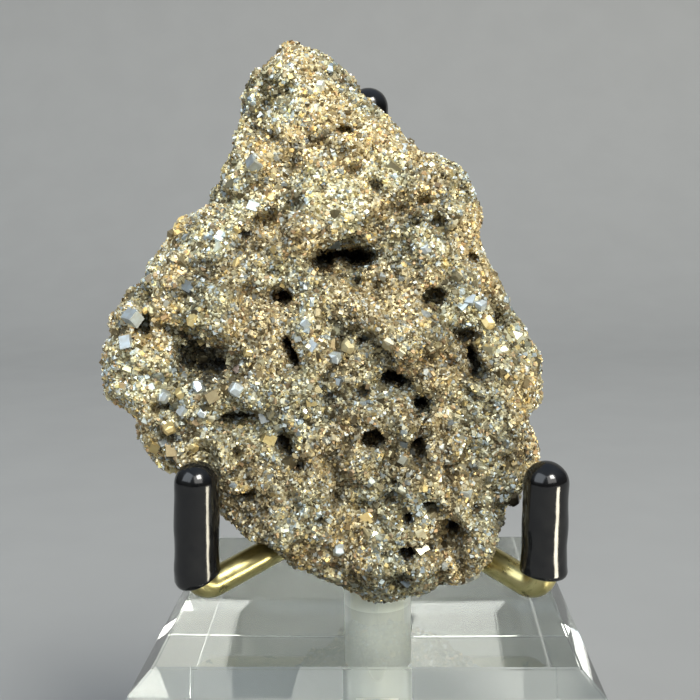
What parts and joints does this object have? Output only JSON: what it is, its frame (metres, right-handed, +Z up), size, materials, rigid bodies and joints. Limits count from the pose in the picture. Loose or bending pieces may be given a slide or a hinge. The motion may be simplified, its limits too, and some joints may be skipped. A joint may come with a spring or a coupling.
{
  "type": "pyrite specimen",
  "caption": "Upright pyrite crystal cluster resting on a brass wire easel with vinyl-capped prongs, set in a clear acrylic block.",
  "frame": {"origin": "middle of the acrylic block's underside", "axes": "+Z up, -Y towards the viewer who faces the cluster's best side, +X to that viewer's right"},
  "size_m": [0.0722, 0.0636, 0.1498],
  "materials": {
    "pyrite": "crystalline metallic lustre, bronze brown with gold and steel-blue faces",
    "acrylic": "clear polished acrylic",
    "brass": "tarnished brass rod with bright streaks",
    "black_vinyl": "glossy dipped vinyl"
  },
  "bodies": {
    "root": {"acrylic_base": "acrylic", "front_left_arm": "brass", "front_right_arm": "brass", "back_arm": "brass", "front_left_cap": "black_vinyl", "front_right_cap": "black_vinyl", "back_cap": "black_vinyl", "pyrite_cluster": "pyrite"}
  },
  "joints": []
}
